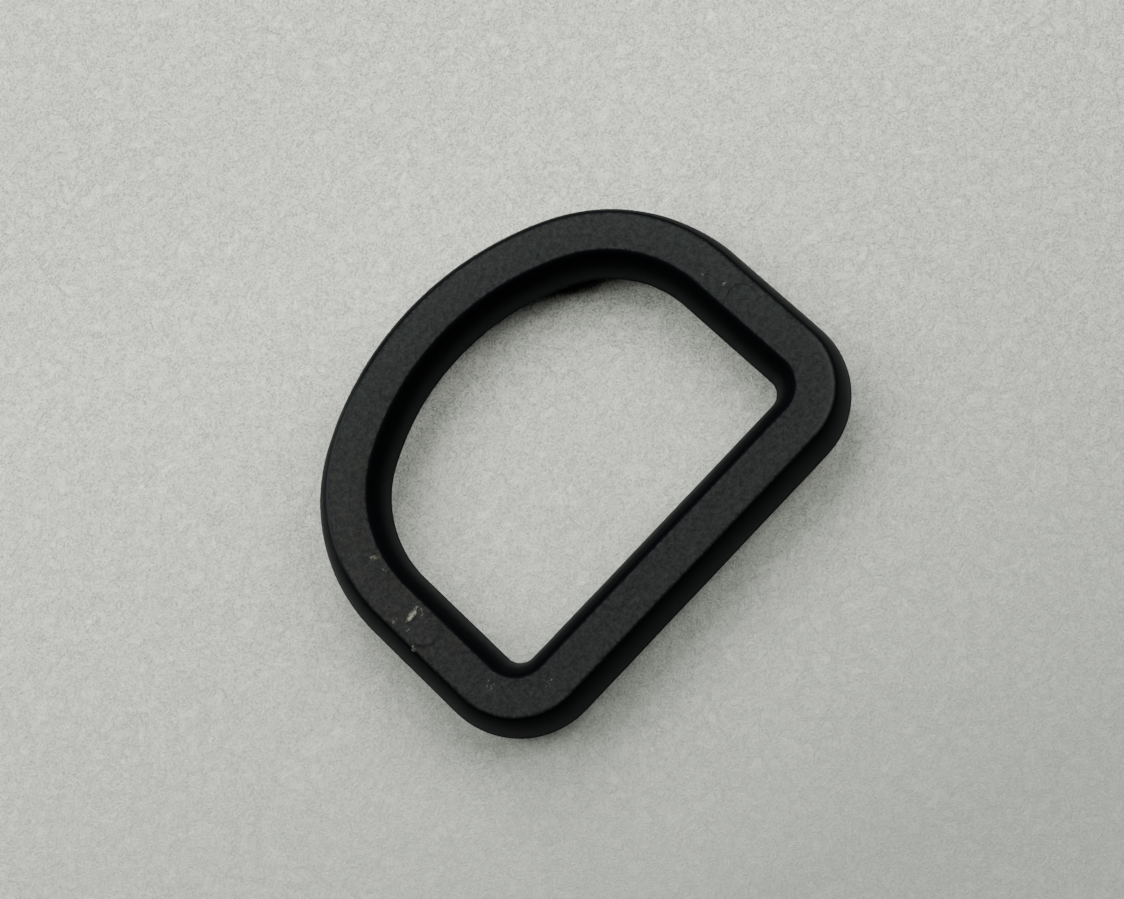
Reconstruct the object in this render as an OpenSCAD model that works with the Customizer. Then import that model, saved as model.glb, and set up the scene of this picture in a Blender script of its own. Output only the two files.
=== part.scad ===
// Webbing D-ring, moulded in one piece: a straight bar, two short legs and a round crown.
// It lies flat with +Z up. The bar runs along X on the -Y side, and the crown is on the +Y side.
// The origin is the middle of the footprint, on the surface that the ring lies on.
// The opening is measured at the parting line, halfway up, where the walls come closest.

/* [Opening] */
// Clear width between the legs, for a 25 mm strap
opening_w = 26; // [19:0.5:34]
// Clear depth from the bar to the middle of the crown
opening_d = 18.5; // [13:0.5:40]
// Radius of the opening's curve under the crown
crown_r = 18.5; // [15:0.5:40]
// Radius of the opening's curve at each shoulder
shoulder_r = 8; // [3:0.5:12]
// Radius of the opening's two corners beside the bar
corner_r = 1.2; // [0.3:0.1:4]

/* [Section] */
// Width of the moulded section, from the opening to the outside
section_w = 5; // [4.4:0.1:9]
// Thickness of the ring, from face to face
ring_t = 5.5; // [3:0.5:9]
// Width of the flat on each face
flat_w = 2.5; // [1:0.1:3.2]
// Radius of the edge between the flat and the bulging wall
edge_r = 0.4; // [0.1:0.05:0.7]
// Draft of the walls where they meet at the parting line, in degrees
draft = 10; // [0:1:14]

/* [Ejector marks] */
// Diameter of the round mark that an ejector pin left on each leg
ejector_d = 2; // [0.8:0.1:2.4]
// Depth of the marks
ejector_depth = 0.05; // [0.02:0.01:0.3]
// Distance of the marks' centres from the bar's edge of the opening
ejector_y = 6.2; // [2:0.1:7]

/* [Hidden] */
$fn = 180;

function to_places(value, places) = round(value * pow(10, places)) / pow(10, places);

// The upper and lower halves mirror each other in the parting plane
half_t = ring_t / 2;

// The crown and each shoulder are arcs that meet where the curve has turned by crown_turn from
// the middle. This angle is rounded, so that both arcs end on the very same plane.
crown_turn = to_places(asin((opening_w / 2 - shoulder_r) / (crown_r - shoulder_r)), 4);
crown_y = opening_d / 2 - crown_r;
crown_to_shoulder = (crown_r - shoulder_r) * [sin(crown_turn), cos(crown_turn), 0];
leg_l = crown_y + crown_to_shoulder[1] + opening_d / 2 - corner_r;

// A quarter of the section has two arcs that run into each other: the edge's, whose centre is
// edge_c, and the bulging wall's, which reaches the parting line at the draft angle
edge_c = [flat_w / 2, half_t - edge_r];
edge_to_foot = [section_w / 2, 0] - edge_c;
foot_bulge = edge_to_foot * [cos(draft), sin(draft)] - edge_r;
wall_r = to_places((edge_to_foot * edge_to_foot - edge_r * edge_r) / (2 * foot_bulge), 4);
// Direction from both arcs' centres to the point where they meet
join_rise = (edge_c[1] + wall_r * sin(draft)) / (wall_r - edge_r);
join_dir = [sqrt(1 - join_rise * join_rise), join_rise];

// A length that reaches out of the section from anywhere inside it
reach = section_w + ring_t;

// Moves by v as a coarse step and its small rest, which keeps the sum exact to a millionth
module shift(v) {
    coarse = [for (c = v) to_places(c, 2)];
    translate(coarse) translate(v - coarse) children();
}

module quarter_section() {
    translate(edge_c) {
        intersection() {
            shift((edge_r - wall_r) * join_dir) circle(r = wall_r);
            polygon([
                [0, 0], reach * join_dir, [2 * reach, -edge_c[1]],
                -edge_c, [-edge_c[0], edge_r], [0, edge_r]
            ]);
        }
        intersection() {
            circle(r = edge_r);
            polygon([[0, 0], reach * join_dir, [reach, 2 * reach], [0, 2 * reach]]);
        }
    }
}

// The whole section, centred on the parting plane, with its first axis across the ring
module section() {
    for (side = [0, 1], face = [0, 1])
        mirror([side, 0]) mirror([0, face]) quarter_section();
}

// A curved stretch around the opening's arc of radius inner_r
module bend(inner_r, from_angle, turn) {
    rotate_extrude(start = from_angle, angle = turn)
        translate([inner_r + section_w / 2, 0]) section();
}

// A straight stretch from the origin along -Y, or along -X when it is turned
module straight(length) {
    rotate([90, 0, 0]) linear_extrude(height = length) section();
}

// One shoulder, leg and corner with its half of the bar, seen from the crown's centre.
// The two halves of the bar run past the middle and overlap there.
module shoulder_to_bar() {
    shift(crown_to_shoulder) {
        bend(shoulder_r, 0, 90 - crown_turn);
        translate([shoulder_r + section_w / 2, 0, 0]) straight(leg_l);
        translate([shoulder_r - corner_r, -leg_l, 0]) {
            bend(corner_r, -90, 90);
            translate([0, -corner_r - section_w / 2, 0])
                rotate([0, 0, -90]) straight(opening_w / 2);
        }
    }
}

module ejector_mark() {
    translate([(opening_w + section_w) / 2, ejector_y - opening_d / 2, ring_t - ejector_depth])
        cylinder(d = ejector_d, h = 2 * ejector_depth);
}

module ring() {
    color("#2b2c2d")
        difference() {
            translate([0, crown_y, half_t]) {
                bend(crown_r, 90 - crown_turn, 2 * crown_turn);
                for (side = [0, 1])
                    mirror([side, 0, 0]) shoulder_to_bar();
            }
            for (side = [0, 1])
                mirror([side, 0, 0]) ejector_mark();
        }
}

ring();
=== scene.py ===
# A plastic D-ring for 25 mm strap, lying flat on a pale surface.
# It is one moulding of dull black plastic. The faces have a fine eroded grain and the walls are
# smoother, with the parting line round them. Each leg has an ejector mark on the upper face, which
# is a little scuffed and stained, with painted highlights along its outer edge and a painted shadow
# by one mark.
# The bar lies along X on the -Y side, the crown is on the +Y side, and +Z is up.
import math
from collections import namedtuple

import bpy
from mathutils import Matrix, Quaternion, Vector


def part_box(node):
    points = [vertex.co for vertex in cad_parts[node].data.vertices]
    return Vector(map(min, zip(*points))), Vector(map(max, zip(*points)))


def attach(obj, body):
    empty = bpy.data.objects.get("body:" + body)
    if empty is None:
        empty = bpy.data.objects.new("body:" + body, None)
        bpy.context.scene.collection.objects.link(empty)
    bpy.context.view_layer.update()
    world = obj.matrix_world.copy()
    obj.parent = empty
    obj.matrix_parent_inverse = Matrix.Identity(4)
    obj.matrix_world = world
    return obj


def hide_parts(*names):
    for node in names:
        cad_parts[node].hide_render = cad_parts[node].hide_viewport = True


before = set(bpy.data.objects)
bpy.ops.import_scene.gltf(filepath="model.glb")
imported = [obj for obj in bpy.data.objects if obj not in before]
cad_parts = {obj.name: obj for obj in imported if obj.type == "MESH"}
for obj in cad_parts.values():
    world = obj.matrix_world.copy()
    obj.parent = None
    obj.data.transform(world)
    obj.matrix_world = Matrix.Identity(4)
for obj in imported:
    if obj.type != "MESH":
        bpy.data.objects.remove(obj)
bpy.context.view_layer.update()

MM = 0.001
X, Y, Z = Vector((1, 0, 0)), Vector((0, 1, 0)), Vector((0, 0, 1))

# Sizes of the ring. Its overall size comes from the frame.
ring_low, ring_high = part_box("ring")
SECTION_W = 5 * MM
RING_T = ring_high.z - ring_low.z
OPENING_W = ring_high.x - ring_low.x - 2 * SECTION_W
OPENING_D = ring_high.y - ring_low.y - 2 * SECTION_W
CROWN_R = 18.5 * MM
SHOULDER_R = 8 * MM
CORNER_R = 1.2 * MM
FLAT_W = 2.5 * MM
EDGE_R = 0.4 * MM
DRAFT = math.radians(10)
EJECTOR_R = 1 * MM
EJECTOR_DEPTH = 0.05 * MM
EJECTOR_TO_BAR = 6.2 * MM
# The mark on -X is nearly flush, with a burr on the bar's side
FLUSH_RISE = 0.042 * MM
FLUSH_REACH = 0.02 * MM
BURR_H = 0.045 * MM
BURR_REACH = 0.2 * MM

# The parting line is a fine ridge where the two halves of the mould met
RIDGE_H = 0.04 * MM
RIDGE_HALF_W = 0.05 * MM
RIDGE_TIP_HALF_W = 0.02 * MM

# The middle of the section on the bar, the legs' centre line and the centres of the bends on +X
BAR_MIDDLE = Vector((0, -(OPENING_D + SECTION_W) / 2, ring_low.z + RING_T / 2))
CROWN_CENTRE = Vector((0, OPENING_D / 2 - CROWN_R, BAR_MIDDLE.z))
LEG_X = (OPENING_W + SECTION_W) / 2
CORNER_CENTRE = Vector((OPENING_W / 2 - CORNER_R, CORNER_R - OPENING_D / 2, BAR_MIDDLE.z))
CROWN_TURN = math.asin((OPENING_W / 2 - SHOULDER_R) / (CROWN_R - SHOULDER_R))
SHOULDER_CENTRE = CROWN_CENTRE + (CROWN_R - SHOULDER_R) * Vector(
    (math.sin(CROWN_TURN), math.cos(CROWN_TURN), 0))

# Where the grain of the faces thins out, from the middle of the section outwards and inwards
GRAIN_END_OUT = 1.06 * MM, 1.56 * MM
GRAIN_END_IN = 1.05 * MM, 1.35 * MM

# Middle of the leg whose face is warmer from handling, and where that starts to fade and ends
HANDLED_PLACE = Vector((-15.0, 0.5)) * MM
HANDLED_REACH = 4 * MM, 11 * MM

# How high the walls are rubbed, from the parting line, on the outside and in the opening
RUB_H_OUT = 3.4 * MM
RUB_H_IN = 2.1 * MM

# Where a painted highlight lightens the outer edge of the upper face: place, reach, and how far the
# line is out from the middle of the section, in mm
EdgeHighlight = namedtuple("EdgeHighlight", "x y reach out")
EDGE_HIGHLIGHT_HALF_W = 0.17 * MM
EDGE_HIGHLIGHTS = [
    EdgeHighlight(14.4, -10.7, 4.5, 1.20),
    EdgeHighlight(-11.5, 8.3, 8, 1.43),
]

# Fineness of the mesh along the ring and across its flats, edges and walls
ALONG_STEP = 0.15 * MM
FLAT_STEPS = 16
EDGE_STEPS = 6
WALL_STEPS = 8
WELD = 0.002 * MM

# Dents and burrs of the upper face: place, reach and height in mm
Knock = namedtuple("Knock", "x y reach height")
KNOCKS = [
    Knock(-15.55, -1.80, 0.34, 0.06),
    Knock(-15.05, -1.78, 0.26, 0.05),
    Knock(-14.62, -1.98, 0.22, 0.03),
    Knock(-15.25, -2.22, 0.30, -0.05),
    Knock(-16.46, -1.20, 0.25, 0.025),
    Knock(-16.80, -3.43, 0.30, -0.03),
    Knock(-14.38, 2.95, 0.35, -0.025),
    Knock(15.43, -1.46, 0.25, 0.02),
]

# Scuffs of the upper face, where the plastic has turned pale: place, length and width in mm, turn
# in degrees and strength
Scuff = namedtuple("Scuff", "x y length width turn strength")
SCUFFS = [
    Scuff(-15.42, -1.80, 1.05, 0.35, 2, 0.85),
    Scuff(-14.90, -1.62, 0.80, 0.16, -12, 0.60),
    Scuff(-14.72, -2.10, 0.75, 0.24, 52, 0.52),
    Scuff(-16.46, -1.20, 0.50, 0.32, 20, 0.55),
    Scuff(-16.86, -3.43, 0.48, 0.28, 60, 0.55),
    Scuff(-16.17, -2.29, 0.30, 0.20, 0, 0.45),
    Scuff(-14.38, 2.95, 0.75, 0.42, -60, 0.44),
    Scuff(-14.48, 1.76, 0.45, 0.30, 80, 0.40),
    Scuff(15.43, -1.46, 0.35, 0.25, 0, 0.45),
    Scuff(15.05, -0.69, 0.60, 0.25, 70, 0.33),
    Scuff(14.91, 0.01, 0.40, 0.20, 50, 0.33),
    Scuff(-15.03, -8.87, 0.90, 0.60, 30, 0.33),
    Scuff(-12.25, -11.62, 1.00, 0.40, 10, 0.33),
]


# Modelling

def deselect_all():
    """Nothing stays selected, so that the next operator acts on the new piece alone."""
    if bpy.context.object and bpy.context.object.mode != "OBJECT":
        bpy.ops.object.mode_set(mode="OBJECT")
    bpy.ops.object.select_all(action="DESELECT")


def select_only(piece):
    deselect_all()
    bpy.context.view_layer.objects.active = piece
    piece.select_set(True)


def start_at_point(name, place):
    """Starts a piece as one selected vertex, in edit mode, with the object at the origin."""
    deselect_all()
    bpy.ops.mesh.primitive_plane_add(size=MM, location=(0, 0, 0))
    piece = bpy.context.object
    piece.name = piece.data.name = name
    bpy.ops.object.mode_set(mode="EDIT")
    bpy.ops.mesh.select_mode(type="VERT")
    bpy.ops.mesh.select_all(action="SELECT")
    bpy.ops.mesh.merge(type="CENTER")
    bpy.ops.transform.translate(value=place)
    return piece


def draw_line(to, steps=1):
    """Extrudes the selected vertex into a straight line."""
    for _ in range(steps):
        bpy.ops.mesh.extrude_vertices_move(TRANSFORM_OT_translate={"value": to / steps})


def pull_straight(to):
    """Extrudes the selected outline into a straight stretch, in even steps."""
    steps = round(to.length / ALONG_STEP)
    for _ in range(steps):
        bpy.ops.mesh.extrude_edges_move(TRANSFORM_OT_translate={"value": to / steps})


def turn_about(centre, axis, angle, steps):
    """Spins the selection about an axis, right-handed. The operator itself turns left-handed."""
    bpy.ops.mesh.spin(steps=steps, angle=angle, center=centre, axis=-axis)


def mirrored_double(centre, scale):
    """Adds a mirror image of the whole mesh and welds the two together."""
    bpy.ops.mesh.select_all(action="SELECT")
    bpy.ops.mesh.duplicate()
    bpy.ops.transform.resize(value=scale, center_override=centre)
    bpy.ops.mesh.select_all(action="SELECT")
    bpy.ops.mesh.remove_doubles(threshold=WELD)


def apply_modifier(piece, modifier):
    select_only(piece)
    bpy.ops.object.modifier_apply(modifier=modifier.name)


def move_softly(piece, is_moved, height, reach):
    """Moves some vertices up or down, with a soft falloff round them.

    Blender takes a reach under 0.01 mm as a metre, so a reach is never so small.
    """
    select_only(piece)
    bpy.ops.object.mode_set(mode="EDIT")
    bpy.ops.mesh.select_mode(type="VERT")
    bpy.ops.mesh.select_all(action="DESELECT")
    bpy.ops.object.mode_set(mode="OBJECT")
    for vertex in piece.data.vertices:
        vertex.select = is_moved(vertex)
    bpy.ops.object.mode_set(mode="EDIT")
    bpy.ops.transform.translate(
        value=(0, 0, height), use_proportional_edit=True,
        proportional_edit_falloff="SMOOTH", proportional_size=reach)
    bpy.ops.object.mode_set(mode="OBJECT")


# The moulded ring

def draw_section():
    """Draws the bar's section as an outline: flats, rounded edges, bulging walls and ridges."""
    piece = start_at_point("moulded_ring", BAR_MIDDLE + RING_T / 2 * Z)
    draw_line(-FLAT_W / 2 * Y, steps=FLAT_STEPS // 2)

    # The edge's arc runs into the wall's, which reaches the parting plane at the draft angle
    edge_y, edge_z = FLAT_W / 2, RING_T / 2 - EDGE_R
    foot_y, foot_z = SECTION_W / 2 - edge_y, -edge_z
    bulge = foot_y * math.cos(DRAFT) + foot_z * math.sin(DRAFT) - EDGE_R
    wall_r = (foot_y ** 2 + foot_z ** 2 - EDGE_R ** 2) / (2 * bulge)
    join = math.asin((edge_z + wall_r * math.sin(DRAFT)) / (wall_r - EDGE_R))
    edge_centre = BAR_MIDDLE + Vector((0, -edge_y, edge_z))
    wall_centre = edge_centre + (wall_r - EDGE_R) * Vector((0, math.cos(join), -math.sin(join)))
    ridge_turn = math.asin(math.sin(DRAFT) + RIDGE_HALF_W / wall_r)
    turn_about(edge_centre, X, math.pi / 2 - join, EDGE_STEPS)
    turn_about(wall_centre, X, join - ridge_turn, WALL_STEPS)

    ridge_foot_y = wall_r * math.cos(ridge_turn) - (wall_centre.y - BAR_MIDDLE.y)
    ridge_out = SECTION_W / 2 + RIDGE_H - ridge_foot_y
    draw_line(Vector((0, -ridge_out, RIDGE_TIP_HALF_W - RIDGE_HALF_W)))
    draw_line(-RIDGE_TIP_HALF_W * Z)

    mirrored_double(BAR_MIDDLE, (1, 1, -1))
    mirrored_double(BAR_MIDDLE, (1, -1, 1))
    return piece


def sweep_ring():
    """Sweeps the section round half of the D, from bar to crown, and mirrors that half."""
    piece = draw_section()
    bpy.ops.mesh.select_mode(type="EDGE")
    bpy.ops.mesh.select_all(action="SELECT")

    def bend(centre, inner_r, angle):
        length = (inner_r + SECTION_W / 2) * angle
        turn_about(centre, Z, angle, round(length / ALONG_STEP))

    pull_straight(CORNER_CENTRE.x * X)
    bend(CORNER_CENTRE, CORNER_R, math.pi / 2)
    pull_straight((SHOULDER_CENTRE.y - CORNER_CENTRE.y) * Y)
    bend(SHOULDER_CENTRE, SHOULDER_R, math.pi / 2 - CROWN_TURN)
    bend(CROWN_CENTRE, CROWN_R, CROWN_TURN)
    mirrored_double((0, 0, 0), (-1, 1, 1))
    bpy.ops.mesh.normals_make_consistent(inside=False)
    bpy.ops.object.mode_set(mode="OBJECT")
    return piece


def make_pin(place):
    """An ejector pin, whose lower end has rings of faces to take the grain."""
    rings = 9
    deselect_all()
    bpy.ops.mesh.primitive_cylinder_add(
        vertices=72, radius=EJECTOR_R, depth=2 * EJECTOR_DEPTH, location=place)
    pin = bpy.context.object
    bpy.ops.object.mode_set(mode="EDIT")
    bpy.ops.mesh.select_mode(type="FACE")
    bpy.ops.mesh.select_all(action="DESELECT")
    bpy.ops.object.mode_set(mode="OBJECT")
    for face in pin.data.polygons:
        face.select = face.normal.z < -0.9
    bpy.ops.object.mode_set(mode="EDIT")
    for _ in range(rings):
        bpy.ops.mesh.inset(thickness=EJECTOR_R / (rings + 1), use_even_offset=False)
    bpy.ops.object.mode_set(mode="OBJECT")
    return pin


def mark_place(side):
    """The middle of the ejector mark on the leg at -X or +X, level with the upper face."""
    return Vector((side * LEG_X, EJECTOR_TO_BAR - OPENING_D / 2, ring_high.z))


def from_flush_mark(vertex):
    """The way from the middle of the flush ejector mark to a vertex."""
    return vertex.co - mark_place(-1)


def press_ejector_marks(piece):
    """Cuts the shallow round mark of an ejector pin into the upper face of each leg."""
    for side in (-1, 1):
        pin = make_pin(mark_place(side))
        cut = piece.modifiers.new("ejector_mark", "BOOLEAN")
        cut.operation = "DIFFERENCE"
        cut.object = pin
        apply_modifier(piece, cut)
        bpy.data.objects.remove(pin)
        if side < 0:
            lift_mark(piece)


def lift_mark(piece):
    """Lifts the floor of the mark on -X until it is nearly flush, and part of its rim to a burr."""
    def on_mark_floor(vertex):
        away = from_flush_mark(vertex)
        return abs(away.z + EJECTOR_DEPTH) < WELD and away.xy.length < EJECTOR_R + WELD

    def on_burr(vertex):
        away = from_flush_mark(vertex)
        on_rim = abs(away.z) < WELD and abs(away.xy.length - EJECTOR_R) < WELD
        return on_rim and away.y < -EJECTOR_R / 3

    move_softly(piece, on_mark_floor, FLUSH_RISE, FLUSH_REACH)
    move_softly(piece, on_burr, BURR_H, BURR_REACH)


def eased(value, low, high):
    """0 below low, 1 above high, and a smooth rise between them."""
    t = min(1, max(0, (value - low) / (high - low)))
    return t * t * (3 - 2 * t)


def group_vertices(piece, name, share_of):
    """Makes a vertex group in which each vertex has the share that share_of gives it."""
    shares = [share_of(vertex) for vertex in piece.data.vertices]
    group = piece.vertex_groups.new(name=name)
    for index, share in enumerate(shares):
        group.add([index], share, "REPLACE")


def out_from_middle(place):
    """How far a place is out from the centre line of the section, negative towards the opening."""
    here = Vector((abs(place.x), place.y))
    if here.y < CORNER_CENTRE.y and here.x < CORNER_CENTRE.x:
        return BAR_MIDDLE.y - here.y
    if here.y < CORNER_CENTRE.y:
        return (here - CORNER_CENTRE.xy).length - CORNER_R - SECTION_W / 2
    if here.y < SHOULDER_CENTRE.y:
        return here.x - LEG_X
    from_crown = here - CROWN_CENTRE.xy
    if math.atan2(from_crown.x, from_crown.y) < CROWN_TURN:
        return from_crown.length - CROWN_R - SECTION_W / 2
    return (here - SHOULDER_CENTRE.xy).length - SHOULDER_R - SECTION_W / 2


def face_share(vertex):
    """How far a vertex has the grain of the faces, which ends sooner beside the opening."""
    out = out_from_middle(vertex.co)
    return 1 - eased(abs(out), *(GRAIN_END_OUT if out > 0 else GRAIN_END_IN))


def handled_share(vertex):
    """How far a vertex lies on the leg that was handled most."""
    return 1 - eased((vertex.co.xy - HANDLED_PLACE).length, *HANDLED_REACH)


def edge_highlight_share(vertex):
    """How much painted highlight a vertex takes, along the border between the upper face and the
    outer wall.
    """
    share = 0
    if vertex.co.z > BAR_MIDDLE.z:
        out = out_from_middle(vertex.co)
        for highlight in EDGE_HIGHLIGHTS:
            away = (vertex.co.xy - Vector((highlight.x, highlight.y)) * MM).length
            near = 1 - eased(away, highlight.reach * MM / 2, highlight.reach * MM)
            share = max(share, near * (1 - eased(abs(out - highlight.out * MM), 0, EDGE_HIGHLIGHT_HALF_W)))
    return share


def smooth_share(vertex):
    """How far a vertex is on the smooth, purplish disc of the flush ejector mark."""
    away = from_flush_mark(vertex)
    return 1 - eased(away.length, 0.95 * EJECTOR_R, 1.15 * EJECTOR_R)


def rim_shadow_share(vertex):
    """How much painted shadow a vertex takes, beside the flush mark's rim on the bar's side."""
    away = from_flush_mark(vertex)
    beside_rim = abs(away.length - 1.1 * EJECTOR_R)
    bar_side = 1 - eased(away.normalized().y, -0.75, 0.2)
    return bar_side * (1 - eased(beside_rim, 0.06 * MM, 0.30 * MM))


def rub_share(vertex):
    """How rubbed a vertex is by straps and hooks: most in the widest part of the walls, and higher
    up on the outside than towards the opening."""
    rub_h = RUB_H_OUT if out_from_middle(vertex.co) > 0 else RUB_H_IN
    return 1 - eased(abs(vertex.co.z - BAR_MIDDLE.z), 0.2 * MM, rub_h)


def roughen(piece, name, group, size, height):
    """Sinks the vertices of a group by a cloudy pattern of a given grain size."""
    clouds = bpy.data.textures.new(name, "CLOUDS")
    clouds.noise_scale = size
    clouds.noise_depth = 1
    displace = piece.modifiers.new(name, "DISPLACE")
    displace.texture = clouds
    displace.texture_coords = "LOCAL"
    displace.vertex_group = group
    displace.strength = height
    displace.mid_level = 1
    apply_modifier(piece, displace)


def knock(piece, dent):
    """Pushes the upper face in or out round one place, with a soft falloff."""
    place = Vector((dent.x * MM, dent.y * MM, ring_high.z))
    nearest = min(piece.data.vertices, key=lambda vertex: (vertex.co - place).length).index
    move_softly(piece, lambda vertex: vertex.index == nearest, dent.height * MM, dent.reach * MM)


def scuff_share(vertex):
    """How scuffed a vertex is, by the strongest scuff that reaches it."""
    share = 0
    if vertex.co.z > ring_high.z - EDGE_R:
        for scuff in SCUFFS:
            away = vertex.co.to_2d() - Vector((scuff.x, scuff.y)) * MM
            if away.length < scuff.length * MM:
                away.rotate(Matrix.Rotation(-math.radians(scuff.turn), 2))
                away_share = math.hypot(away.x / scuff.length, away.y / scuff.width) / MM
                share = max(share, scuff.strength * (1 - eased(away_share, 0.25, 0.75)))
    return share


def make_ring():
    piece = sweep_ring()
    press_ejector_marks(piece)
    group_vertices(piece, "face", face_share)
    group_vertices(piece, "wall", lambda vertex: 1 - face_share(vertex))
    group_vertices(piece, "rubbed", rub_share)
    group_vertices(piece, "handled", handled_share)
    group_vertices(piece, "smooth", smooth_share)
    # Painted shadow beside the flush mark's rim, and a painted highlight along parts of the outer
    # edge
    group_vertices(piece, "rim_shadow", rim_shadow_share)
    group_vertices(piece, "edge_highlight", edge_highlight_share)
    roughen(piece, "coarse_grain", "face", 0.45 * MM, 0.012 * MM)
    roughen(piece, "fine_grain", "face", 0.2 * MM, 0.008 * MM)
    roughen(piece, "waviness", "wall", 4 * MM, 0.03 * MM)
    for dent in KNOCKS:
        knock(piece, dent)
    group_vertices(piece, "scuffed", scuff_share)
    select_only(piece)
    bpy.ops.object.shade_smooth_by_angle(angle=math.radians(40))
    piece.data.materials.append(moulded_plastic())
    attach(piece, "root")
    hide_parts("ring")
    return piece


# Materials

def new_material(name):
    """A material with an empty tree, and a short way to add a node with its inputs and settings."""
    material = bpy.data.materials.new(name)
    material.use_nodes = True
    tree = material.node_tree
    tree.nodes.clear()

    def add(kind, inputs=None, **settings):
        node = tree.nodes.new("ShaderNode" + kind)
        for key, value in settings.items():
            setattr(node, key, value)
        for key, value in (inputs or {}).items():
            if isinstance(value, bpy.types.NodeSocket):
                tree.links.new(value, node.inputs[key])
            else:
                node.inputs[key].default_value = value
        return node

    return material, add


def pattern_tools(material, add):
    """Short ways to build a pattern from the piece's own coordinates, in mm."""
    place = add("TexCoord").outputs["Object"]

    def noise(size_mm, detail, roughness, distortion=0):
        """A cloudy pattern, whose largest blotches have the given size."""
        return add("TexNoise", {
            "Vector": place, "Scale": 1000 / size_mm, "Detail": detail,
            "Roughness": roughness, "Distortion": distortion}).outputs["Fac"]

    def spread(value, low, high, to_low, to_high):
        """Turns the range from low to high into the range from to_low to to_high."""
        return add("MapRange", {
            "Value": value, "From Min": low, "From Max": high,
            "To Min": to_low, "To Max": to_high}).outputs["Result"]

    def maths(operation, a, b):
        return add("Math", {0: a, 1: b}, operation=operation).outputs["Value"]

    def mixed(share, a, b):
        """A colour that goes from a to b as the share goes from 0 to 1."""
        mix = add("Mix", {0: share}, data_type="RGBA")
        for socket, colour in ((6, a), (7, b)):
            if isinstance(colour, bpy.types.NodeSocket):
                material.node_tree.links.new(colour, mix.inputs[socket])
            else:
                mix.inputs[socket].default_value = (*colour, 1)
        return mix.outputs[2]

    return noise, spread, maths, mixed


def moulded_plastic():
    """Dull black plastic: eroded grain on the faces, smoother walls, stains and pale scuffs."""
    material, add = new_material("moulded_plastic")
    noise, spread, maths, mixed = pattern_tools(material, add)
    face = add("Attribute", attribute_name="face").outputs["Fac"]
    rubbed = add("Attribute", attribute_name="rubbed").outputs["Fac"]
    handled = add("Attribute", attribute_name="handled").outputs["Fac"]
    smooth = add("Attribute", attribute_name="smooth").outputs["Fac"]
    rim_shadow = add("Attribute", attribute_name="rim_shadow").outputs["Fac"]
    edge_highlight = add("Attribute", attribute_name="edge_highlight").outputs["Fac"]
    scuffed = add("Attribute", attribute_name="scuffed").outputs["Fac"]
    grain = noise(0.42, 4, 1.0, 0.3)
    speckle = noise(0.16, 2, 0.8)
    blotches = spread(noise(1.9, 2, 0.7), 0.38, 0.62, 0, 1)
    stains = noise(1.5, 2, 0.7, 0.5)

    # The grain of the faces ends in a ragged border
    face = spread(maths("MULTIPLY", face, spread(grain, 0.3, 0.7, 0.6, 1.4)), 0.1, 0.7, 0, 1)

    # The faces go from greenish to purplish grey in blotches, with brownish stains where they were
    # handled. The flush ejector mark is more purplish, with a painted shadow beside its rim on the
    # bar's side.
    tone = mixed(blotches, (0.0120, 0.0142, 0.0134), (0.0136, 0.0138, 0.0140))
    stained = spread(maths("ADD", stains, maths("MULTIPLY", handled, 0.2)), 0.60, 0.84, 0, 1)
    tone = mixed(stained, tone, (0.0168, 0.0149, 0.0124))
    tone = mixed(maths("MULTIPLY", smooth, 0.7), tone, (0.0166, 0.0148, 0.0152))
    # Painted shadow: near-black, in blotches, beside the flush mark's rim on the bar's side
    rim_shadow = maths("MULTIPLY", rim_shadow, spread(stains, 0.35, 0.6, 0.3, 1))
    tone = mixed(maths("MULTIPLY", rim_shadow, 0.6), tone, (0.0027, 0.0028, 0.0026))

    # The pits of the grain and the walls are darker, and a painted highlight lightens lines along
    # the outer edge of the upper face
    pits = spread(grain, 0.38, 0.62, 0, 1)
    face_colour = mixed(pits, (0.0008, 0.0010, 0.0009), tone)
    plastic_colour = mixed(face, (0.0008, 0.0010, 0.0013), face_colour)
    plastic_colour = mixed(edge_highlight, plastic_colour, (0.0152, 0.0163, 0.0158))

    # A scuff is pale plastic torn up in crumbs, and thins out at its rim
    crumbs = spread(maths("ADD", scuffed, spread(speckle, 0.3, 0.7, -0.35, 0.35)), 0.36, 1.0, 0, 1)
    colour = mixed(crumbs, plastic_colour, (0.205, 0.196, 0.16))

    relief = maths("ADD", maths("MULTIPLY", grain, spread(face, 0, 1, 0.1, 1)), crumbs)
    bump = add("Bump", {"Height": relief, "Strength": 1, "Distance": 0.03 * MM})

    # The walls gleam a little where they are rubbed, the faces more evenly, less in the painted rim
    # shadow, and the painted highlight along the outer edge most
    wall_gleam = spread(rubbed, 0, 1, 0.021, 0.159)
    face_gleam = maths("MULTIPLY", face, spread(rim_shadow, 0, 1, 0.130, 0.076))
    edge_highlight_gleam = maths("MULTIPLY", edge_highlight, 0.054)
    shader = add("BsdfPrincipled", {
        "Base Color": colour, "Normal": bump.outputs["Normal"], "Roughness": 0.68,
        "Specular Tint": mixed(face, (0.74, 0.81, 1), (0.97, 1, 0.98)),
        "Specular IOR Level": maths("ADD", edge_highlight_gleam, maths("ADD", wall_gleam, face_gleam))})
    add("OutputMaterial", {"Surface": shader.outputs["BSDF"]})
    return material


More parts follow.
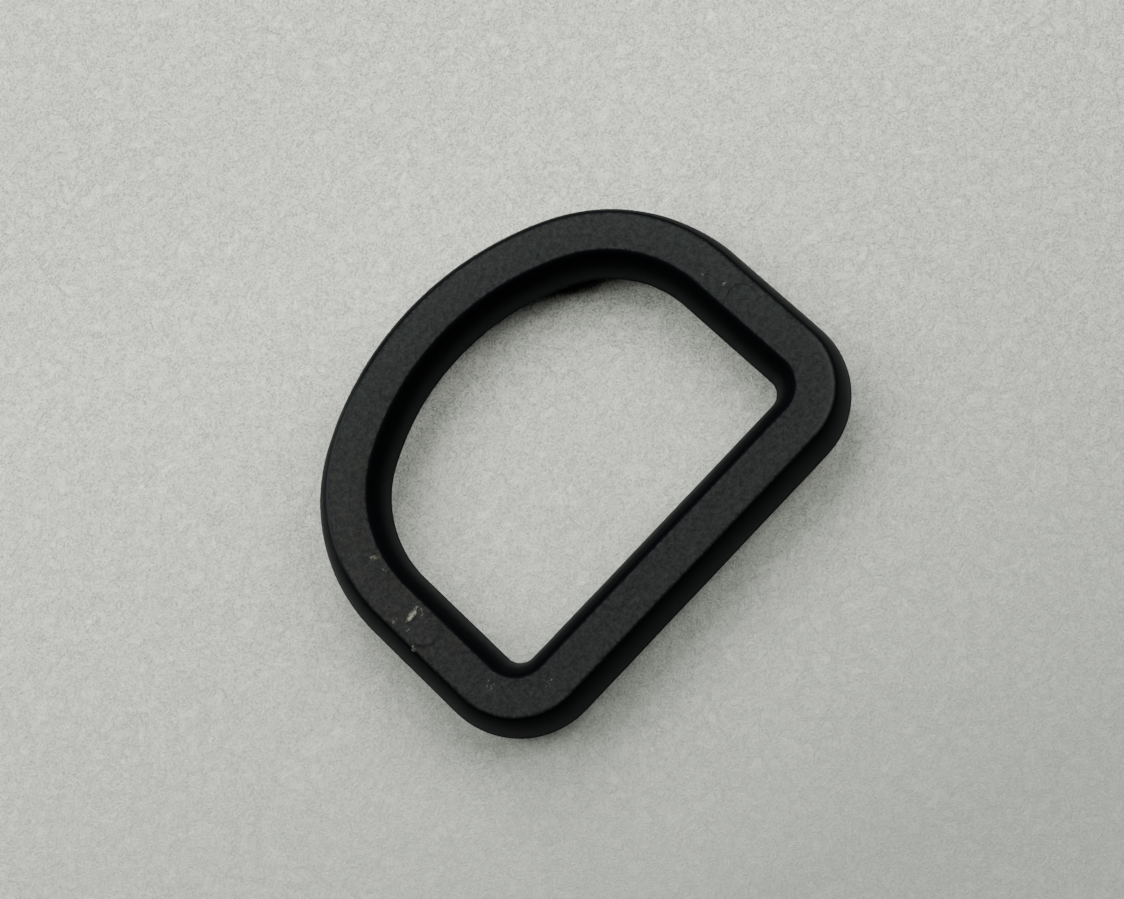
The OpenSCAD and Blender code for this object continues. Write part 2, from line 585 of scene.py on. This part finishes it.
def pale_surface():
    """The pale grey surface that the ring lies on: matt and fibrous with bright specks, smoother
    towards the bar's side, and darker there by painted shade."""
    material, add = new_material("pale_surface")
    noise, spread, maths, mixed = pattern_tools(material, add)
    place = add("TexCoord").outputs["Object"]

    def far_along(x, y):
        """How far a place is along a direction on the floor."""
        return add("VectorMath", {0: place, 1: (x, y, 0)}, operation="DOT_PRODUCT").outputs["Value"]

    # The grain grows crisper from the bar's side to the crown's, and painted shade darkens the
    # surface towards the bar's side
    crisp = spread(far_along(0.48, 0.88), -30 * MM, 33 * MM, 0.28, 1.1)
    lit_side = spread(far_along(0.35, 0.94), -34 * MM, 20 * MM, 0, 1)

    fibres = spread(noise(0.8, 5, 1.0, 1.5), 0.39, 0.61, -0.7, 0.7)
    specks = spread(noise(0.15, 2, 1.0, 0.5), 0.38, 0.66, -0.55, 1.05)
    grain = maths("MULTIPLY", maths("ADD", fibres, specks), crisp)
    share = maths("ADD", grain, 0.62)
    # Painted shade: the colours towards the bar's side are darker
    shaded_colour = mixed(share, (0.175, 0.179, 0.161), (0.40, 0.407, 0.366))
    bright = mixed(share, (0.38, 0.385, 0.346), (1.0, 1.0, 0.89))
    bump = add("Bump", {"Height": grain, "Strength": 1, "Distance": 0.04 * MM})
    shader = add("BsdfPrincipled", {
        "Base Color": mixed(lit_side, shaded_colour, bright), "Roughness": 0.45,
        "Normal": bump.outputs["Normal"]})
    add("OutputMaterial", {"Surface": shader.outputs["BSDF"]})
    return material


# Floor, lights and camera

def lay_floor():
    deselect_all()
    bpy.ops.mesh.primitive_circle_add(vertices=96, radius=2, fill_type="NGON", location=(0, 0, 0))
    floor = bpy.context.object
    floor.name = "floor"
    floor.data.materials.append(pale_surface())


def towards(azimuth, elevation):
    """The direction at an azimuth from +X and an elevation above the floor, in degrees."""
    a, e = math.radians(azimuth), math.radians(elevation)
    return Vector((math.cos(e) * math.cos(a), math.cos(e) * math.sin(a), math.sin(e)))


def soft_light(name, azimuth, elevation, distance, spread, brightness):
    """A round light that looks at the ring, and seen from there spans spread degrees each way.

    The brightness is what it adds to a white floor under it.
    """
    radius = distance * math.tan(math.radians(spread))
    data = bpy.data.lights.new(name, "AREA")
    data.shape = "DISK"
    data.size = 2 * radius
    data.energy = brightness * math.pi ** 2 * distance ** 2 / math.sin(math.radians(elevation))
    data.color = (0.965, 1, 0.99)
    lamp = bpy.data.objects.new(name, data)
    bpy.context.scene.collection.objects.link(lamp)
    direction = towards(azimuth, elevation)
    lamp.location = direction * distance
    lamp.rotation_mode = "QUATERNION"
    lamp.rotation_quaternion = direction.to_track_quat("Z", "Y")


def set_lights():
    soft_light("left_light", azimuth=130, elevation=50, distance=0.28, spread=20, brightness=0.80)
    soft_light("back_light", azimuth=62, elevation=47, distance=0.17, spread=20, brightness=0.87)
    soft_light("right_light", azimuth=344, elevation=48, distance=0.28, spread=18, brightness=0.65)
    world = bpy.data.worlds.new("studio")
    world.use_nodes = True
    backdrop = world.node_tree.nodes["Background"]
    backdrop.inputs["Color"].default_value = (0.9, 0.95, 1, 1)
    backdrop.inputs["Strength"].default_value = 0.005
    bpy.context.scene.world = world


def set_camera():
    """The photo's camera: above the bar's side, looking down, and turned about its own view."""
    place = Vector((-10.856, -31.998, 136.214)) * MM
    view = Vector((0.077824, 0.227678, -0.970622))
    roll = math.radians(-27.8)
    data = bpy.data.cameras.new("camera")
    data.lens = 64.06
    data.sensor_width = 36
    data.clip_start = 5 * MM
    data.clip_end = 10
    camera = bpy.data.objects.new("camera", data)
    bpy.context.scene.collection.objects.link(camera)
    camera.location = place
    camera.rotation_mode = "QUATERNION"
    camera.rotation_quaternion = view.to_track_quat("-Z", "Y") @ Quaternion(Z, roll)
    bpy.context.scene.camera = camera


set_camera()
make_ring()
lay_floor()
set_lights()
